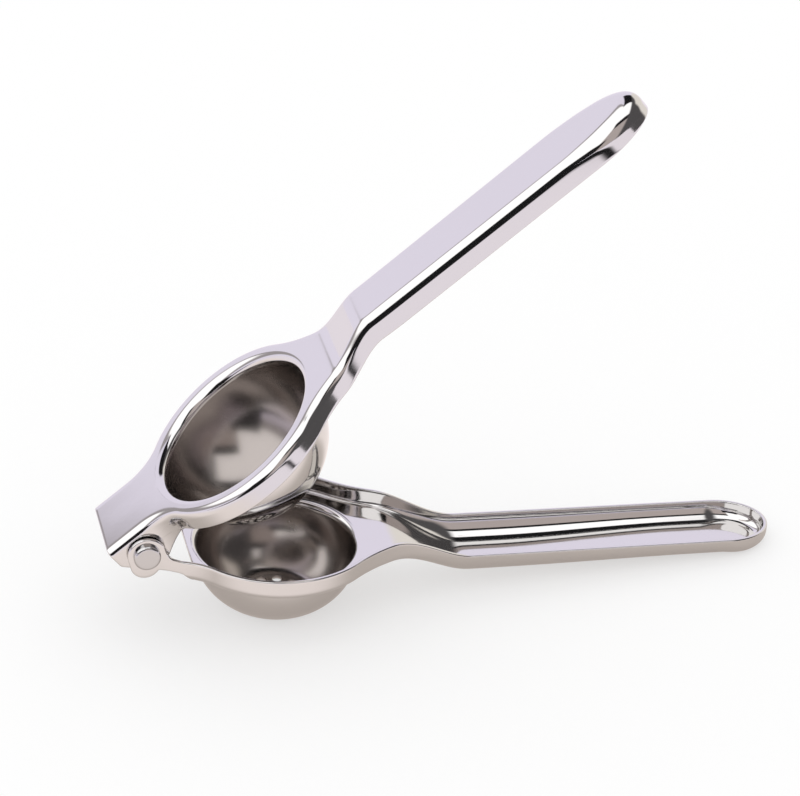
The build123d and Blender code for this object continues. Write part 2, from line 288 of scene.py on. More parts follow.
def bendSkin(points, inward, bend, depth, fromTurn, toTurn, rows):
    # A quarter circle round (bend, bend): d = bend - (bend - depth) sin q, h = bend - (bend - depth) cos q,
    # with q running from fromTurn to toTurn at each station; depth is 0 on the outer skin and the sheet's
    # thickness on the inner one
    t = np.linspace(0, 1, rows)[:, None]
    q = fromTurn + t * (toTurn - fromTurn)
    return skin(points, inward, bend - (bend - depth) * np.sin(q), bend - (bend - depth) * np.cos(q))


def faceSkin(start, end, height, rows):
    # Straight lines from the bend's end to the inner boundary, at one height off the face
    t = np.linspace(0, 1, rows)[:, None, None]
    flat = start[None] + t * (end - start)[None]
    return np.concatenate([flat, np.full(flat.shape[:2] + (1,), float(height))], -1)


def innerBoundary(points, bendEnd, tray):
    # Where a face ends: the middle line behind the cup, half the lip's circle, and the middle line of the
    # handle. The stations' polar angles are stretched so that the circle runs from 180 to 0 degrees
    flat = tray["cup"] - sheet + tray["lip"]
    turn = np.degrees(np.arctan2(points[:, 1], points[:, 0]))
    first = int(np.argmin(np.abs(turn - min(tray["circleStart"], turn[0] - grain["freeTurn"]))))
    last = int(np.argmin(np.abs(turn - tray["circleEnd"])))
    angle = np.radians(np.interp(turn, [turn[last], 90, turn[first]], [0, 90, 180]))
    circle = flat * np.stack([np.cos(angle), np.sin(angle)], -1)
    x = bendEnd[:, 0]
    index = np.arange(len(x))
    behind = x[0] + (-flat - x[0]) * np.clip(index / first, 0, 1)
    tipStart = tray["tip"] - tray["tipLength"]
    ahead = x + (flat - x[last]) * (1 - np.clip((x - x[last]) / (tipStart - x[last]), 0, 1))
    middle = np.stack([np.where(index <= first, behind, ahead), np.zeros(len(x))], -1)
    onCircle = (index > first) & (index < last)
    middle[first] = (-flat, 0)
    middle[last] = (flat, 0)
    return np.where(onCircle[:, None], circle, middle), angle[first:last + 1]


def cutEdge(outer, inner, outward):
    # The sheet's cut edge carried along a path: a quarter circle of edgeRounding, a flat, another quarter
    # circle. outer and inner are where the two skins end, and outward points out of the sheet's cut side
    through = inner - outer
    through = through / np.linalg.norm(through, axis=-1, keepdims=True)
    t = np.linspace(0, math.pi / 2, grain["cutRows"])[:, None, None]
    near = outer + (through * (1 - np.cos(t)) + outward * np.sin(t)) * edgeRounding
    far = inner + (outward * np.sin(t) - through * (1 - np.cos(t))) * edgeRounding
    return np.concatenate([near, far[::-1]])


def outwardOf(curve, turn):
    # Unit normal of a plane curve, to the left of travel for turn = 1 and to the right for turn = -1
    tangent = np.gradient(curve, axis=0)
    tangent /= np.linalg.norm(tangent, axis=1)[:, None]
    return turn * np.stack([-tangent[:, 1], tangent[:, 0]], -1)


# The ears' free outlines as (along, up) from the rivet. A disc is (along, up, radius).
strainerEarSize = {
    "radius": 5.6, "heelDisc": (-0.4, -3.0, 4.4), "heelFrom": -33, "blend": 5.0,
    "neck": [(9.5, -6.3), (6.6, -5.62), (4.6, -5.2), (3.7, -5.0)],
}
pressEarSize = {
    "radius": 5.5, "rearDisc": (-6.7, 2.0, 1.5), "frontDisc": (3.0, -2.0, 3.7), "lobeEnd": 304,
    "slantEnd": (12.3, -0.1), "sweepCorner": 14.1,
}


def strainerEar():
    # From the neck's low edge round the heel and the ear's top, then in an arc of radius blend to the rim
    ear = strainerEarSize
    rise = ear["blend"] - hinge["pinAboveRim"]
    reach = math.sqrt((ear["radius"] + ear["blend"]) ** 2 - rise ** 2)
    touch = math.degrees(math.atan2(rise, reach))
    join = strainerTray["joinFromPin"]
    low = strainerTray["neckLow"] - strainerTray["height"] - hinge["pinAboveRim"]
    neck = np.array([(join, low)] + ear["neck"])
    heel = beltPoints([(0, 0, ear["radius"]), ear["heelDisc"]], ear["heelFrom"], touch - 360, 160)
    blend = arcPoints((reach, rise), ear["blend"], 180 + touch, 270, 24)
    rim = np.array([blend[-1], (join, rise - ear["blend"])])
    curve = evenly(chain(neck, np.concatenate([neck[-1:], heel]), blend, rim), grain["alongEar"])
    out = outwardOf(curve, 1)
    out[0], out[-1] = (0, -1), (0, 1)
    return curve, out


def pressEar():
    # From the top of the tray's rear edge down, round the lobe, up the slant and in a curve
    # (1-t)^2 a + 2t(1-t) b + t^2 c into the wall's edge
    ear = pressEarSize
    top = hinge["pinBelowFace"] - pressTray["blockBend"]
    rear = pressTray["rearFromPin"]
    edge = hinge["pinBelowFace"] - pressTray["height"]
    join = pressTray["joinFromPin"]
    lobe = beltPoints([ear["rearDisc"], (0, 0, ear["radius"]), ear["frontDisc"]], 180, ear["lobeEnd"], 120)
    sweepEnds = (ear["slantEnd"], (ear["sweepCorner"], edge), (join, edge))
    a, b, c = (np.array(point) for point in sweepEnds)
    t = np.linspace(0, 1, 12)[:, None]
    sweep = (1 - t) ** 2 * a + 2 * t * (1 - t) * b + t ** 2 * c
    back = np.array([(rear, top), (rear, ear["rearDisc"][1])])
    curve = evenly(chain(back, lobe, np.concatenate([lobe[-1:], sweep])), grain["alongEar"])
    out = outwardOf(curve, -1)
    out[0], out[-1] = (-1, 0), (0, -1)
    return curve, out


def onWall(tray, x, depth):
    # The tray's wall at a length x behind the ring: its place on the outline, moved into the sheet by depth
    points, inward = trayOutline(tray, -60.0)
    rear = points[:, 0] < 0
    along = points[rear][:, 0]
    y = np.interp(x, along, points[rear][:, 1])
    inX, inY = (np.interp(x, along, column) for column in inward[rear].T)
    size = np.hypot(inX, inY)
    return x + depth * inX / size, y + depth * inY / size


def earSkins(loop, tray, pinX, pinH):
    # The ear between the rivet's hole and a closed loop of points (x, h): rays from the hole to the loop,
    # laid on the tray's wall, on both sides of the sheet, and the hole's own wall
    pin = np.array([pinX, pinH])
    ray = loop - pin
    angle = np.unwrap(np.arctan2(ray[:, 1], ray[:, 0]))
    around = angle[0] + (angle[-1] - angle[0]) * np.linspace(0, 1, len(angle))
    evenness = grain["earEvenness"]
    angle = (1 - evenness) * angle + evenness * around
    rim = pin + hinge["hole"] * np.stack([np.cos(angle), np.sin(angle)], -1)
    t = np.linspace(0, 1, grain["earRows"])[:, None, None]
    flat = rim[None] + t * (loop - rim)[None]
    skins = []
    for depth in (0.0, sheet):
        x, y = onWall(tray, flat[..., 0], depth)
        skins.append(np.stack([x, y, flat[..., 1]], -1))
    return skins + [np.stack([skins[0][0], skins[1][0]])]


def trayGrids(tray, ear):
    # Half a tray as grids of (x, y, h): walls, bends, faces, the ear, and one cut edge all the way round
    strainer = tray is strainerTray
    earCurve, earOut = ear
    pinX = -hinge["ringToPin"]
    pinH = tray["height"] + hinge["pinAboveRim"] if strainer else hinge["pinBelowFace"]
    joinX = pinX + tray["joinFromPin"]
    firstX = joinX if strainer else pinX + tray["rearFromPin"] + edgeRounding
    points, inward, join = trayStations(tray, firstX, joinX)
    bend = trayBend(points[:, 0], tray)
    bendEnd = points + inward * bend[:, None]
    floor = 0
    if strainer:
        floor = int(np.argmin(np.abs(bendEnd[:grain["rearStations"], 0] - pinX - tray["floorFromPin"])))

    # The strainer's walls stand alone as far as the floor: their low edge runs down to the face there
    share = np.clip(np.arange(len(points)) / max(floor, 1), 0, 1) if strainer else np.ones(len(points))
    low = (tray.get("neckLow", 0) + edgeRounding) * (1 - share)
    top = tray["height"] + trayDeeper(points[:, 0], tray) - edgeRounding
    quarter = math.pi / 2
    turnOuter = np.where(low >= bend, quarter, np.arccos(np.clip(1 - low / bend, 0, 1)))
    turnInner = np.where(low >= bend, quarter, np.arccos(np.clip((bend - low) / (bend - sheet), 0, 1)))
    wallEnd = np.maximum(bend, low)
    wallH = top[None] + np.linspace(0, 1, grain["wallRows"])[:, None] * (wallEnd - top)[None]
    grids, ends = [], []
    boundary, angles = innerBoundary(points[floor:], bendEnd[floor:], tray)
    for depth, turnEnd in ((0.0, turnOuter), (sheet, turnInner)):
        wall = skin(points, inward, np.full(wallH.shape, depth), wallH)
        bent = bendSkin(points, inward, bend, depth, quarter, turnEnd, grain["bendRows"])
        face = faceSkin(bendEnd[floor:], boundary, depth, grain["faceRows"])
        bent = np.where((low >= bend)[None, :, None], wall[-1][None], bent)
        grids += [wall[:, join:], bent, face]
        ends.append((wall[0], bent, face))

    # The ear's loop follows the wall's first station, or the press tray's bend, and else its own free curve
    z = earCurve - earOut * edgeRounding
    upward = 1 if strainer else -1
    free = np.stack([pinX + z[:, 0], pinH + upward * z[:, 1]], -1)
    joinLine = np.stack([np.full(len(wallH), joinX), wallH[:, join]], -1)
    if strainer:
        loop = chain(joinLine, free)
    else:
        above = np.stack([points[:join + 1, 0], bend[:join + 1]], -1)[::-1]
        loop = chain(free, joinLine, above)
    grids += earSkins(loop, tray, pinX, pinH)

    # The cut edge's path: face's rear edge, then the low edge or the bend's rear end, the ear, and the rim
    earOut3 = np.stack([earOut[:, 0], np.zeros(len(earOut)), upward * earOut[:, 1]], -1)
    paths = []
    for (rim, bent, face), depth in zip(ends, (0.0, sheet)):
        x, y = onWall(tray, free[:, 0], depth)
        earEnd = np.stack([x, y, free[:, 1]], -1)
        lowEdge = bent[-1, :floor + 1][::-1] if strainer else bent[::-1, 0]
        paths.append(chain(face[::-1, 0], lowEdge, earEnd, rim[join:]))
    back = np.array([-1.0, 0, 0])
    lowOut = np.tile(back, (grain["bendRows"], 1))
    if strainer:
        q = (np.arange(floor, -1, -1) / floor * quarter)[:, None]
        lowOut = np.sin(q) * back + np.cos(q) * np.array([0, 0, -1.0])
    rimOut = np.tile([0, 0, 1.0], (len(points) - join, 1))
    outward = chain(np.tile(back, (grain["faceRows"], 1)), lowOut, earOut3, rimOut)
    grids.append(cutEdge(paths[0], paths[1], outward))

    # Off the face means up for the strainer and down for the press, from the face's own level
    def level(x):
        return trayLevel(x, tray) + faceHeight(tray) - (trayDeeper(x, tray) if strainer else 0)

    local = []
    for grid in grids:
        x, y, h = (grid[..., i] for i in range(3))
        local.append(np.stack([x, y, level(x) + tray["side"] * h], -1))
    return local + [lipGrid(tray, angles)]


def lipProfile(tray):
    # The sheet turning down into the cup, as (radius, height): down the inside, across the seam, up outside
    outer, inner = tray["cup"], tray["cup"] - sheet
    flat = inner + tray["lip"]
    seam = seamHeight(tray)
    turnCentre = (flat, seam + tray["collar"])
    down = arcPoints(turnCentre, tray["lip"], 90, 180, 12)
    up = arcPoints(turnCentre, tray["lip"] - sheet, 180, 90, 9)
    return chain(down, linePoints(down[-1], (inner, seam), 3), linePoints((inner, seam), (outer, seam), 4),
                 linePoints((outer, seam), up[0], 3), up)


def lipGrid(tray, angles):
    # The lip's profile at the same angles as the face's stations: (r cos a, r sin a, z)
    profile = lipProfile(tray)
    a = angles[:, None]
    return np.stack([profile[None, :, 0] * np.cos(a), profile[None, :, 0] * np.sin(a),
                     np.broadcast_to(profile[None, :, 1], (len(angles), len(profile)))], -1)


def makeTray(node, tray, ear, origin, along, up, body):
    grids = [placed(grid, origin, along, across, up) for grid in trayGrids(tray, ear)]
    piece = makePiece(node + "_sheet", grids, body, mirrored=True)
    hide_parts(node)
    return piece


strainerArm = makeTray("strainer_arm", strainerTray, strainerEar(), strainerOrigin, strainerAlong,
                       strainerUp, "strainer_side")
pressArm = makeTray("press_arm", pressTray, pressEar(), pressOrigin, pressAlong, pressUp, "press_side")

pressCup = {"radius": pressTray["cup"], "depth": 27.0, "around": 181, "down": 61}
strainerCup = {
    "radius": strainerTray["cup"], "depth": 20.1, "around": 181, "down": 46,
    "drainRadius": 12.0, "drainBlend": 8.0, "hole": 1.5, "holeRounding": 0.2,
    "innerCircle": 4.0, "innerHoles": 5, "outerCircle": 7.9, "outerHoles": 10, "between": 6.0,
    "cellStep": 2.0,
}


def drainLevel(cup, seam):
    # The height at which the cup's ellipse is as wide as drainRadius
    return seam - cup["depth"] * math.sin(math.acos(cup["drainRadius"] / cup["radius"]))


def makePressBowl():
    # A half ellipse (R cos t, -D sin t) turned round the cup's axis, outside and inside, joined at the seam
    cup = pressCup
    seam = seamHeight(pressTray)
    t = np.radians(np.linspace(90, 0, cup["down"]))
    outer = np.stack([cup["radius"] * np.cos(t), seam - cup["depth"] * np.sin(t)], -1)
    inner = np.stack([(cup["radius"] - sheet) * np.cos(t), seam - (cup["depth"] - sheet) * np.sin(t)], -1)
    outer[0, 0] = inner[0, 0] = 0
    profile = chain(outer, linePoints(outer[-1], inner[-1], 4), inner[::-1])
    grid = placed(turned(profile, cup["around"]), pressOrigin, pressAlong, across, pressUp)
    piece = makePiece("press_bowl_drawn", [grid], "press_side")
    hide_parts("press_bowl")
    return piece


def bowlSide(radius, depth, seam, level, blend, count):
    # An ellipse (R cos t, -D sin t) down from the seam, then an arc of radius blend that touches both it and
    # the flat at level. The arc's centre is on the ellipse moved inward by blend, at height level + blend
    t = np.linspace(0, math.pi / 2, 2000)
    normal = np.stack([np.cos(t) / radius, -np.sin(t) / depth], -1)
    normal /= np.linalg.norm(normal, axis=1)[:, None]
    ellipse = np.stack([radius * np.cos(t), seam - depth * np.sin(t)], -1)
    centres = ellipse - blend * normal
    at = int(np.argmin(np.abs(centres[:, 1] - (level + blend))))
    turn = math.degrees(math.atan2(normal[at, 1], normal[at, 0]))
    t = np.linspace(0, t[at], count)
    side = np.stack([radius * np.cos(t), seam - depth * np.sin(t)], -1)
    corner = arcPoints((centres[at, 0], level + blend), blend, turn, -90, 14)
    corner[0] = side[-1]
    return chain(side, corner)


def drainCell(middle, half, fromRadius, toRadius, holeRadius, skins):
    # One hole and the part of the drain face round it: rays from the cell's edge to the hole, a small
    # rounding, the hole's wall through the sheet, and the same on the inside. skins gives each side's height
    # and outer radius, and middle and half are the cell's direction and half its angle
    steps = int(round(2 * half / strainerCup["cellStep"])) + 1
    rows = []
    for (height, flatRadius), inside in zip(skins, (False, True)):
        outer = flatRadius if toRadius is None else toRadius
        arc = arcPoints((0, 0), outer, middle - half, middle + half, steps)
        spoke = linePoints(arc[-1], fromRadius * arc[-1] / outer, 8)
        back = linePoints(fromRadius * arc[0] / outer, arc[0], 8)
        if fromRadius > 0:
            near = arcPoints((0, 0), fromRadius, middle + half, middle - half, steps)
            edge = chain(arc, spoke, near, back)
        else:
            edge = chain(arc, spoke, back)
        centre = holeRadius * np.array([math.cos(math.radians(middle)), math.sin(math.radians(middle))])
        ray = edge - centre
        u = ray / np.linalg.norm(ray, axis=1)[:, None]
        r, small = strainerCup["hole"], strainerCup["holeRounding"]
        rim = centre + u * (r + small)
        t = np.linspace(0, 1, 5)[:, None, None]
        flat = edge[None] + t * (rim - edge)[None]
        q = np.linspace(0, math.pi / 2, 5)[:, None, None]
        curl = centre + u * (r + small * (1 - np.sin(q)))
        depth = small * (1 - np.cos(q)) * np.ones(curl.shape[:2])[..., None]
        side = np.concatenate([flat, curl[1:]])
        drop = np.concatenate([np.zeros(flat.shape[:2] + (1,)), depth[1:]])
        z = height - drop if inside else height + drop
        rows.append(np.concatenate([side, z], -1))
    return np.concatenate([rows[0], rows[1][::-1]])


def makeStrainerBowl():
    cup = strainerCup
    seam = seamHeight(strainerTray)
    level = drainLevel(cup, seam)
    outer = bowlSide(cup["radius"], cup["depth"], seam, level, cup["drainBlend"], cup["down"])
    inner = bowlSide(cup["radius"] - sheet, cup["depth"] - sheet, seam, level + sheet,
                     cup["drainBlend"] - sheet, cup["down"])
    profile = chain(outer[::-1], linePoints(outer[0], inner[0], 4), inner)
    skins = ((level, outer[-1, 0]), (level + sheet, inner[-1, 0]))
    grids = [turned(profile, cup["around"])]
    for hole in range(cup["innerHoles"]):
        grids.append(drainCell(hole * 360 / cup["innerHoles"], 180 / cup["innerHoles"], 0.0, cup["between"],
                               cup["innerCircle"], skins))
    for hole in range(cup["outerHoles"]):
        grids.append(drainCell(hole * 360 / cup["outerHoles"], 180 / cup["outerHoles"], cup["between"], None,
                               cup["outerCircle"], skins))
    inFrame = [placed(grid, strainerOrigin, strainerAlong, across, strainerUp) for grid in grids]
    piece = makePiece("strainer_bowl_drawn", inFrame, "strainer_side")
    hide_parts("strainer_bowl")
    return piece


pressBowl = makePressBowl()
strainerBowl = makeStrainerBowl()

rivet = {
    "shank": 2.5, "headRadius": 4.0, "headHeight": 1.6, "headRounding": 0.9,
    "tailRadius": 3.6, "tailHeight": 1.2, "tailRounding": 0.5, "around": 73,
}
spacerTube = {"inner": hinge["hole"], "outer": 3.95, "endGap": 0.05, "chamfer": 0.15, "around": 61}
frictionWasher = {"inner": hinge["hole"], "outer": 4.0, "thickness": 0.6, "chamfer": 0.08, "around": 61}


def roundRivet(profile, around):
    # A profile (radius, distance to the far side) turned about the rivet's axis
    ahead, up = np.array([1.0, 0, 0]), np.array([0, 0, 1.0])
    return placed(turned(profile, around), pinPlace, ahead, up, across)


def makeRivet():
    # Head, shank and set tail in one closed profile
    r = rivet
    half = strainerTray["halfWidth"]
    headFlat = r["headRadius"] - r["headRounding"]
    tailFlat = r["tailRadius"] - r["tailRounding"]
    headEnd = -half - r["headHeight"]
    tailEnd = half + r["tailHeight"]
    head = arcPoints((headFlat, headEnd + r["headRounding"]), r["headRounding"], -90, 0, 10)
    tail = arcPoints((tailFlat, tailEnd - r["tailRounding"]), r["tailRounding"], 0, 90, 8)
    underHead, shankStart = (r["headRadius"], -half), (r["shank"], -half)
    shankEnd, underTail = (r["shank"], half), (r["tailRadius"], half)
    profile = chain(linePoints((0, headEnd), head[0], 6), head, linePoints(head[-1], underHead, 3),
                    linePoints(underHead, shankStart, 3), linePoints(shankStart, shankEnd, 12),
                    linePoints(shankEnd, underTail, 3), linePoints(underTail, tail[0], 3), tail,
                    linePoints(tail[-1], (0, tailEnd), 6))
    grid = roundRivet(profile, r["around"])
    piece = makePiece("hinge_rivet_polished", [grid], "strainer_side")
    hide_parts("hinge_rivet")
    return piece


def makeRing(name, size, fromSide, toSide, node):
    # A tube or washer: a rectangle with its corners taken off, turned about the rivet's axis
    inner, outer, c = size["inner"], size["outer"], size["chamfer"]
    corners = [(inner, fromSide + c), (inner + c, fromSide), (outer - c, fromSide), (outer, fromSide + c),
               (outer, toSide - c), (outer - c, toSide), (inner + c, toSide), (inner, toSide - c),
               (inner, fromSide + c)]
    profile = chain(*[linePoints(a, b, 4) for a, b in zip(corners[:-1], corners[1:])])
    piece = makePiece(name, [roundRivet(profile, size["around"])], "strainer_side", sharpAngle=30)
    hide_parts(node)
    return piece


hingeRivet = makeRivet()
spacerHalf = pressTray["halfWidth"] - sheet - spacerTube["endGap"]
spacer = makeRing("hinge_spacer_tube", spacerTube, -spacerHalf, spacerHalf, "hinge_spacer")
inside = strainerTray["halfWidth"] - sheet
washerNear = makeRing("friction_washer_near_disc", frictionWasher, -inside,
                      -inside + frictionWasher["thickness"], "friction_washer_near")
washerFar = makeRing("friction_washer_far_disc", frictionWasher, inside - frictionWasher["thickness"],
                     inside, "friction_washer_far")


class Wire:
    # A value socket in a node tree; arithmetic on it adds the Math nodes
    def __init__(self, paint, socket):
        self.paint = paint
        self.socket = socket

    def math(self, operation, *others):
        node = self.paint.node("ShaderNodeMath", {"operation": operation}, dict(enumerate((self,) + others)))
        return Wire(self.paint, node.outputs[0])

    def __add__(self, other):
        return self.math("ADD", other)

    def __rsub__(self, other):
        return (self * -1) + other

    def __mul__(self, other):
        return self.math("MULTIPLY", other)

    __radd__ = __add__
    __rmul__ = __mul__


class Paint:
    # A node tree being made. node() adds any node: its settings first, then its sockets' values or links
    def __init__(self, tree):
        self.tree = tree
        tree.nodes.clear()

    def node(self, kind, settings=None, sockets=None):
        made = self.tree.nodes.new(kind)
        for name, value in (settings or {}).items():
            setattr(made, name, value)
        for name, value in (sockets or {}).items():
            if isinstance(value, Wire):
                self.tree.links.new(value.socket, made.inputs[name])
            elif isinstance(value, bpy.types.NodeSocket):
                self.tree.links.new(value, made.inputs[name])
            else:
                made.inputs[name].default_value = value
        return made

    def wire(self, kind, settings=None, sockets=None, output=0):
        return Wire(self, self.node(kind, settings, sockets).outputs[output])

    def between(self, value, start, end):
        # 0 before start and 1 past end, with a smooth step between them
        return self.wire("ShaderNodeMapRange", {"interpolation_type": "SMOOTHSTEP"},
                         {"Value": value, "From Min": start, "From Max": end})

    def past(self, value, edge):
        # 0 below an edge and 1 above it, with the edge given as (place, softness)
        place, softness = edge
        return self.between(value, place - softness, place + softness)

    def mixColour(self, share, first, second):
        node = self.node("ShaderNodeMix", {"data_type": "RGBA"}, {0: share, 6: first, 7: second})
        return node.outputs[2]

    def noise(self, place, scale, detail, rough):
        return self.wire("ShaderNodeTexNoise", None,
                         {"Vector": place, "Scale": scale, "Detail": detail, "Roughness": rough})


# A noise is (scale, detail, roughness), and wave and lines are heights in metres.
steel = {
    "base": (0.70, 0.688, 0.68, 1.0), "darkest": 0.86, "roughness": 0.045,
    "waveNoise": (55.0, 1.0, 0.4), "wave": 0.00003, "lineNoise": (900.0, 3.0, 0.6), "lines": 0.0000012,
    "cloudNoise": (90.0, 4.0, 0.55), "smudgeNoise": (38.0, 5.0, 0.6), "smudgeEdge": (0.65, 0.09),
    "lineShade": 0.03, "cloudShade": 0.05, "smudgeShade": 0.12,
    "lineRoughness": 0.02, "cloudRoughness": 0.035, "smudgeRoughness": 0.06,
    # The cup's inner colour below is darkened as painted shade in the hollow; its roughness is the satin finish
    "shadedSatinBase": (0.38, 0.345, 0.325, 1.0), "satinRoughness": 0.10, "satinCloud": 0.08,
}
cupSteel = dict(steel, wave=0.00002)
rivetSteel = dict(steel, base=(0.58, 0.575, 0.575, 1.0), roughness=0.12, wave=0.000005)
alongLines = (0.12, 1.0, 1.0)    # how the polishing lines are stretched, along x, y and z
roundLines = (0.5, 0.5, 1.0)
cupSkin = {"wallEdge": (0.976, 0.006), "aboveFloor": 0.6, "floorSoftness": 0.2}
nylon = {
    "base": (0.05, 0.05, 0.055, 1.0), "lighter": (0.085, 0.083, 0.085, 1.0), "roughness": 0.55,
    "grainNoise": (2500.0, 3.0, 0.6), "grainRoughness": 0.2, "grainHeight": 0.00002, "grainStrength": 0.6,
}


def insideCup(paint, place, cup, seam, floor, origin, axes):
    # 1 on a cup's inner skin and 0 on its outer one: the outer skin lies on an ellipsoid of the cup's own
    # radii about the middle of its seam, or under its floor, and the inner skin inside both
    middle = (origin + axes[2] * seam) * mm
    floorEdge = ((floor - seam + cupSkin["aboveFloor"]) * mm, cupSkin["floorSoftness"] * mm)
    turnBack = Matrix([list(axis) for axis in axes]).transposed().to_euler()
    own = paint.node("ShaderNodeMapping", {"vector_type": "TEXTURE"},
                     {"Vector": place, "Location": tuple(middle), "Rotation": tuple(turnBack)})
    share = paint.node("ShaderNodeVectorMath", {"operation": "DIVIDE"},
                       {0: own.outputs[0], 1: (cup["radius"] * mm, cup["radius"] * mm, cup["depth"] * mm)})
    length = Wire(paint, paint.node("ShaderNodeVectorMath", {"operation": "LENGTH"},
                                    {0: share.outputs[0]}).outputs["Value"])
    height = Wire(paint, paint.node("ShaderNodeSeparateXYZ", None, {0: own.outputs[0]}).outputs[2])
    return (1 - paint.past(length, cupSkin["wallEdge"])) * paint.past(height, floorEdge)


def polishedSteel(name, size, lineStretch, cup=None):
    # Mirror-polished sheet: soft waves left by the press, fine polishing lines, faint cloudy patches and
    # smudges. The inside of a cup stays satin as it was drawn, and its darker colour there is painted shade
    material = bpy.data.materials.new(name)
    material.use_nodes = True
    paint = Paint(material.node_tree)
    place = paint.node("ShaderNodeTexCoord").outputs["Object"]
    stretched = paint.node("ShaderNodeMapping", {"vector_type": "POINT"},
                           {"Vector": place, "Scale": lineStretch})
    lines = paint.noise(stretched.outputs[0], *size["lineNoise"])
    cloud = paint.noise(place, *size["cloudNoise"])
    smudge = paint.past(paint.noise(place, *size["smudgeNoise"]), size["smudgeEdge"])
    rough = cloud * size["cloudRoughness"] + lines * size["lineRoughness"]
    rough = rough + smudge * size["smudgeRoughness"] + size["roughness"]
    shade = cloud * size["cloudShade"] + lines * size["lineShade"] + smudge * size["smudgeShade"]
    darker = tuple(v * size["darkest"] for v in size["base"][:3]) + (1.0,)
    base = paint.mixColour(shade, size["base"], darker)
    # Painted shade in the cups' hollows: the inner skin takes a darker colour, along with its satin roughness
    if cup:
        inner = insideCup(paint, place, *cup)
        base = paint.mixColour(inner, base, size["shadedSatinBase"])
        rough = rough + inner * (size["satinRoughness"] + cloud * size["satinCloud"])
    wave = paint.noise(place, *size["waveNoise"])
    waved = paint.node("ShaderNodeBump", None, {"Height": wave, "Distance": size["wave"], "Strength": 1.0})
    fine = paint.node("ShaderNodeBump", None, {"Height": lines, "Distance": size["lines"], "Strength": 1.0,
                                              "Normal": waved.outputs[0]})
    shader = paint.node("ShaderNodeBsdfPrincipled", None,
                        {"Base Color": base, "Metallic": 1.0, "Roughness": rough, "Normal": fine.outputs[0]})
    paint.node("ShaderNodeOutputMaterial", None, {"Surface": shader.outputs[0]})
    return material


def darkNylon(name, size):
    # Turned nylon: fine grain in colour, roughness and height
    material = bpy.data.materials.new(name)
    material.use_nodes = True
    paint = Paint(material.node_tree)
    place = paint.node("ShaderNodeTexCoord").outputs["Object"]
    grainNoise = paint.noise(place, *size["grainNoise"])
    base = paint.mixColour(grainNoise, size["base"], size["lighter"])
    rough = grainNoise * size["grainRoughness"] + size["roughness"]
    bump = paint.node("ShaderNodeBump", None, {"Height": grainNoise, "Distance": size["grainHeight"],
                                               "Strength": size["grainStrength"]})
    shader = paint.node("ShaderNodeBsdfPrincipled", None,
                        {"Base Color": base, "Metallic": 0.0, "Roughness": rough, "Normal": bump.outputs[0]})
    paint.node("ShaderNodeOutputMaterial", None, {"Surface": shader.outputs[0]})
    return material


def dress(piece, material):
    piece.data.materials.clear()
    piece.data.materials.append(material)


armSteel = polishedSteel("arm_steel", steel, alongLines)
pressSeam = seamHeight(pressTray)
pressSkin = (pressCup, pressSeam, pressSeam - pressCup["depth"], pressOrigin, (pressAlong, across, pressUp))
pressCupSteel = polishedSteel("press_cup_steel", cupSteel, roundLines, pressSkin)
strainerSeam = seamHeight(strainerTray)
strainerSkin = (strainerCup, strainerSeam, drainLevel(strainerCup, strainerSeam), strainerOrigin,
                (strainerAlong, across, strainerUp))
strainerCupSteel = polishedSteel("strainer_cup_steel", cupSteel, roundLines, strainerSkin)
pinSteel = polishedSteel("pin_steel", rivetSteel, roundLines)
washerNylon = darkNylon("washer_nylon", nylon)
for piece in (strainerArm, pressArm):
    dress(piece, armSteel)
dress(pressBowl, pressCupSteel)
dress(strainerBowl, strainerCupSteel)
for piece in (hingeRivet, spacer):
    dress(piece, pinSteel)
for piece in (washerNear, washerFar):
    dress(piece, washerNylon)
for name, node in frame["nodes"].items():
    dress(node, washerNylon if "washer" in name else armSteel)
print("materials done")

studio = {
    "lavender": (0.99, 0.94, 1.09, 1.0), "farGrey": (0.43, 0.40, 0.41, 1.0),
    "softbox": (1.5, 1.49, 1.5, 1.0), "dark": (0.012, 0.012, 0.013, 1.0), "front": (0.56, 0.49, 0.47, 1.0),
    "rightWall": (0.98, 0.93, 0.87, 1.0), "rightDark": (0.10, 0.095, 0.098, 1.0),
    "plain": (1.0, 1.0, 1.0, 1.0),
    # The edges of what stands there, as (place, softness), by toLeft, turn, high, over, x or y
    "greyLeft": (30.85, 0.75), "greyHigh": (8.5, 1.2), "leftBox": (40.0, 3.0), "rightBox": (75.0, 15.0),
    "boxHigh": (20.5, 2.5), "overheadX": (-0.12, 0.04), "overheadStart": (83.0, 2.0),
    "lineStart": (122.0, 1.0), "lineEnd": (134.0, 1.0),
    "farDarkStart": (42.0, 2.0), "farDarkEnd": (83.0, 2.0), "rightX": (0.44, 0.08),
    "rightHigh": (44.0, 6.0), "rightY": (0.05, 0.10), "cornerLeft": (138.0, 3.0), "cornerHigh": (27.0, 2.0),
}


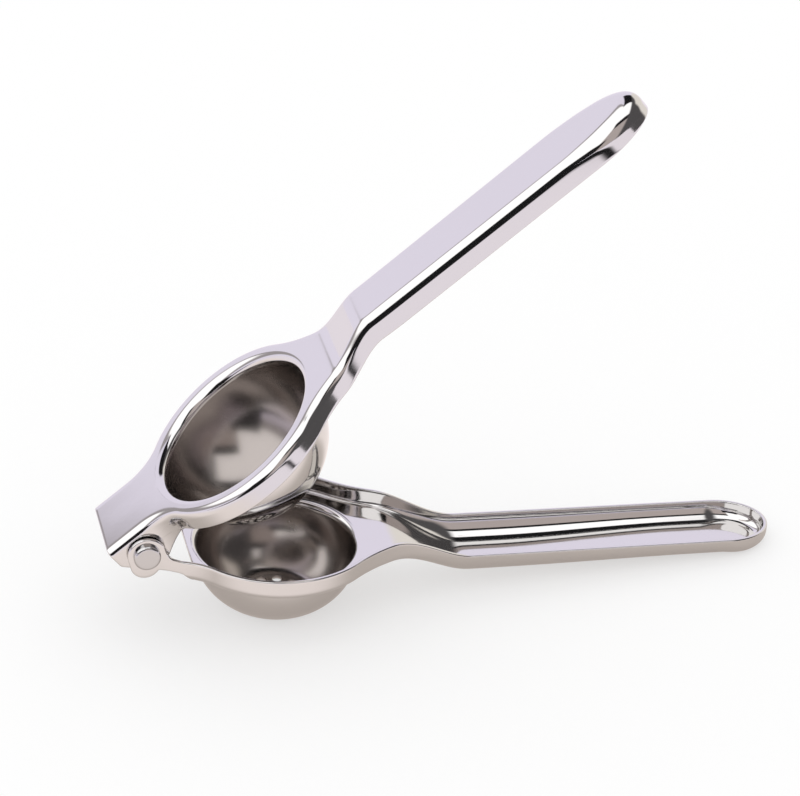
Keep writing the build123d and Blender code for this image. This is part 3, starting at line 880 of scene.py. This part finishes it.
def makeStudio(size):
    # What the polished steel sees, by the direction looked in: turn is 0 away from the front, grows to the
    # right and is 180 in front, and toLeft grows to the left; high is the angle above the horizon; over runs
    # from 0 at the far horizon through 90 overhead to 180 at the near one. All else sees plain white light
    world = bpy.data.worlds.new("studio")
    bpy.context.scene.world = world
    world.use_nodes = True
    paint = Paint(world.node_tree)
    toward = paint.node("ShaderNodeTexCoord").outputs["Generated"]
    split = paint.node("ShaderNodeSeparateXYZ", None, {0: toward})
    x, y, z = (Wire(paint, split.outputs[i]) for i in range(3))
    degree = 180 / math.pi
    high = z.math("ARCSINE") * degree
    turn = x.math("ARCTAN2", y) * degree
    over = z.math("ARCTAN2", y) * degree
    toLeft = turn * -1
    # Far side: a pale lavender wall that turns grey towards the left
    grey = paint.past(toLeft, size["greyLeft"]) * paint.past(high, size["greyHigh"])
    look = paint.mixColour(grey, size["lavender"], size["farGrey"])
    # A large white softbox at the left and another at the right
    sides = paint.past(toLeft, size["leftBox"]).math("MAXIMUM", paint.past(turn, size["rightBox"]))
    look = paint.mixColour(sides * paint.past(high, size["boxHigh"]), look, size["softbox"])
    # The near right half of the room is brown-grey, with a third softbox overhead and a dark strip on each
    # side of that
    notLeft = paint.past(x, size["overheadX"])
    for start, shade in (("overheadStart", "softbox"), ("lineStart", "dark"), ("lineEnd", "front")):
        look = paint.mixColour(notLeft * paint.past(over, size[start]), look, size[shade])
    farDark = paint.past(over, size["farDarkStart"]) * (1 - paint.past(over, size["farDarkEnd"]))
    look = paint.mixColour(notLeft * farDark, look, size["dark"])
    # The right end of the room is beige low down on the far side, and dark elsewhere
    beige = (1 - paint.past(high, size["rightHigh"])) * paint.past(y, size["rightY"])
    rightEnd = paint.mixColour(beige, size["rightDark"], size["rightWall"])
    look = paint.mixColour(paint.past(x, size["rightX"]), look, rightEnd)
    # Low down at the near left it is dark
    corner = paint.past(toLeft, size["cornerLeft"]) * (1 - paint.past(high, size["cornerHigh"]))
    look = paint.mixColour(corner, look, size["dark"])
    rays = paint.node("ShaderNodeLightPath")
    seen = paint.mixColour(Wire(paint, rays.outputs["Is Glossy Ray"]), size["plain"], look)
    background = paint.node("ShaderNodeBackground", None, {"Color": seen, "Strength": 1.0})
    paint.node("ShaderNodeOutputWorld", None, {"Surface": background.outputs[0]})


# The near table colour is painted shade round the tool, seen only in the steel's reflections
floorLook = {
    "glow": 0.5, "half": 3.0, "toolMiddle": 0.05, "toolStretch": 0.25,
    "near": 0.028, "far": 0.062, "farther": 0.14, "nearTableShade": (0.69, 0.62, 0.575, 1.0),
    "farTable": (1.07, 0.97, 0.93, 1.0), "farthest": (1.04, 0.97, 1.04, 1.0), "dark": studio["dark"],
    "tableGlow": 0.45, "tableEdge": (-0.30, 0.03), "tableSide": (0.32, 0.04),
}


def makeFloor(size):
    # A plain pale floor: part of its white is its own, so that only a soft shadow shows on it. The steel
    # sees a table instead, darkened by painted shade in ovals round the tool and almost black towards the front
    mesh = bpy.data.meshes.new("floor")
    half = size["half"]
    corners = [(-half, -half, 0), (half, -half, 0), (half, half, 0), (-half, half, 0)]
    mesh.from_pydata(corners, [], [(0, 1, 2, 3)])
    floor = bpy.data.objects.new("floor", mesh)
    bpy.context.scene.collection.objects.link(floor)
    material = bpy.data.materials.new("pale_floor")
    material.use_nodes = True
    paint = Paint(material.node_tree)
    place = paint.node("ShaderNodeTexCoord").outputs["Object"]
    # Painted shade: the table the steel sees is darkened in ovals round the tool, by distance from its middle
    squeezed = paint.node("ShaderNodeMapping", {"vector_type": "POINT"},
                          {"Vector": place, "Scale": (size["toolStretch"], 1.0, 1.0),
                           "Location": (-size["toolMiddle"] * size["toolStretch"], 0.0, 0.0)})
    distance = Wire(paint, paint.node("ShaderNodeVectorMath", {"operation": "LENGTH"},
                                      {0: squeezed.outputs[0]}).outputs["Value"])
    far = paint.between(distance, size["near"], size["far"])
    farther = paint.between(distance, size["far"], size["farther"])
    table = paint.mixColour(far, size["nearTableShade"], size["farTable"])
    table = paint.mixColour(farther, table, size["farthest"])
    split = paint.node("ShaderNodeSeparateXYZ", None, {0: place})
    x, y = (Wire(paint, split.outputs[i]) for i in (0, 1))
    onTable = paint.past(y, size["tableEdge"]).math("MAXIMUM", paint.past(x, size["tableSide"]))
    table = paint.mixColour(onTable, size["dark"], table)
    glow = paint.node("ShaderNodeEmission", None, {"Color": (1, 1, 1, 1), "Strength": size["glow"]})
    soft = 1 - size["glow"]
    matte = paint.node("ShaderNodeBsdfDiffuse", None, {"Color": (soft, soft, soft, 1)})
    plain = paint.node("ShaderNodeAddShader", None, {0: glow.outputs[0], 1: matte.outputs[0]})
    tableGlow = paint.node("ShaderNodeEmission", None, {"Color": table, "Strength": size["tableGlow"]})
    tableMatte = paint.node("ShaderNodeBsdfDiffuse", None,
                            {"Color": paint.mixColour(size["tableGlow"], table, (0, 0, 0, 1))})
    mirrored = paint.node("ShaderNodeAddShader", None, {0: tableGlow.outputs[0], 1: tableMatte.outputs[0]})
    rays = paint.node("ShaderNodeLightPath")
    both = paint.node("ShaderNodeMixShader", None,
                      {0: rays.outputs["Is Glossy Ray"], 1: plain.outputs[0], 2: mirrored.outputs[0]})
    paint.node("ShaderNodeOutputMaterial", None, {"Surface": both.outputs[0]})
    mesh.materials.append(material)


makeStudio(studio)
makeFloor(floorLook)
print("studio done")

# Metres, then degrees, then the lens's own millimetres.
view = {
    "place": (-0.14902, -0.79874, 0.55467), "turn": -13.235, "high": 30.877, "roll": 0.158,
    "lens": 147.08, "sensor": 36.0,
}


def makeCamera(size):
    # The camera's axes: back points from the scene to it, right is level before the roll
    a, e, roll = (math.radians(size[key]) for key in ("turn", "high", "roll"))
    back = np.array([math.sin(a) * math.cos(e), -math.cos(a) * math.cos(e), math.sin(e)])
    level = np.array([math.cos(a), math.sin(a), 0.0])
    upright = np.cross(back, level)
    right = math.cos(roll) * level + math.sin(roll) * upright
    up = math.cos(roll) * upright - math.sin(roll) * level
    lens = bpy.data.cameras.new("camera")
    lens.sensor_fit = "HORIZONTAL"
    lens.sensor_width = size["sensor"]
    lens.lens = size["lens"]
    camera = bpy.data.objects.new("camera", lens)
    bpy.context.scene.collection.objects.link(camera)
    rows = [(right[i], up[i], back[i], size["place"][i]) for i in range(3)]
    camera.matrix_world = Matrix(rows + [(0, 0, 0, 1)])
    bpy.context.scene.camera = camera


makeCamera(view)
bpy.context.scene.view_settings.view_transform = "Standard"
